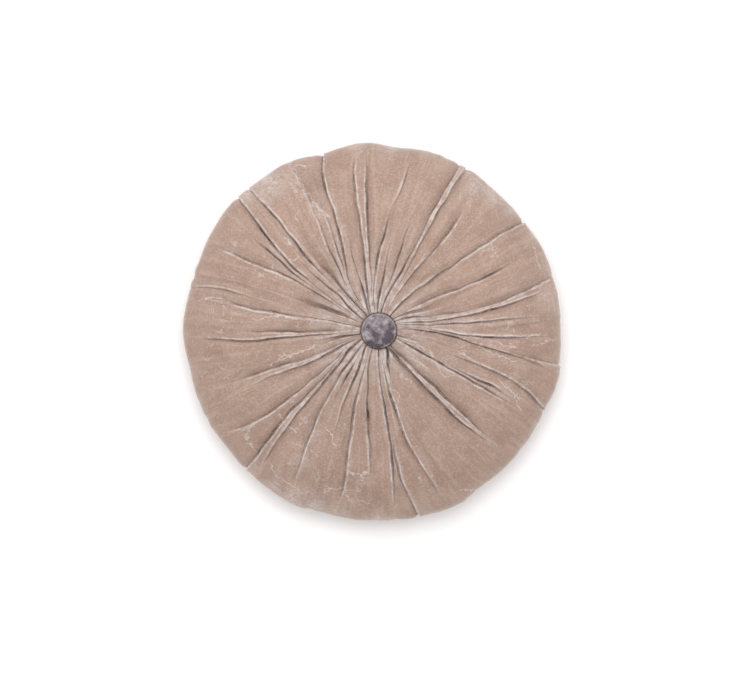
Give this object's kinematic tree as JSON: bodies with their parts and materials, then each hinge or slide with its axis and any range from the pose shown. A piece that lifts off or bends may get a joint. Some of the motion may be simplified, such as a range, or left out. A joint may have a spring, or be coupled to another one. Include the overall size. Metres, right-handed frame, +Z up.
{
  "type": "cushion",
  "caption": "Round floor or seat cushion in gathered velvet, its radial folds drawn in to a covered button in the middle of the face.",
  "frame": {"origin": "on the surface the cushion lies on, under the middle of its footprint", "axes": "+Z up, out of the face that the button is sewn into; +Y towards the top of the picture"},
  "size_m": [0.4024, 0.4018, 0.094],
  "materials": {
    "cover_velvet": "dusty rose velvet with a soft sheen and crushed pile",
    "button_velvet": "grey-mauve velvet, darker than the cover"
  },
  "bodies": {
    "root": {"cushion": "cover_velvet", "button": "button_velvet"}
  },
  "joints": []
}
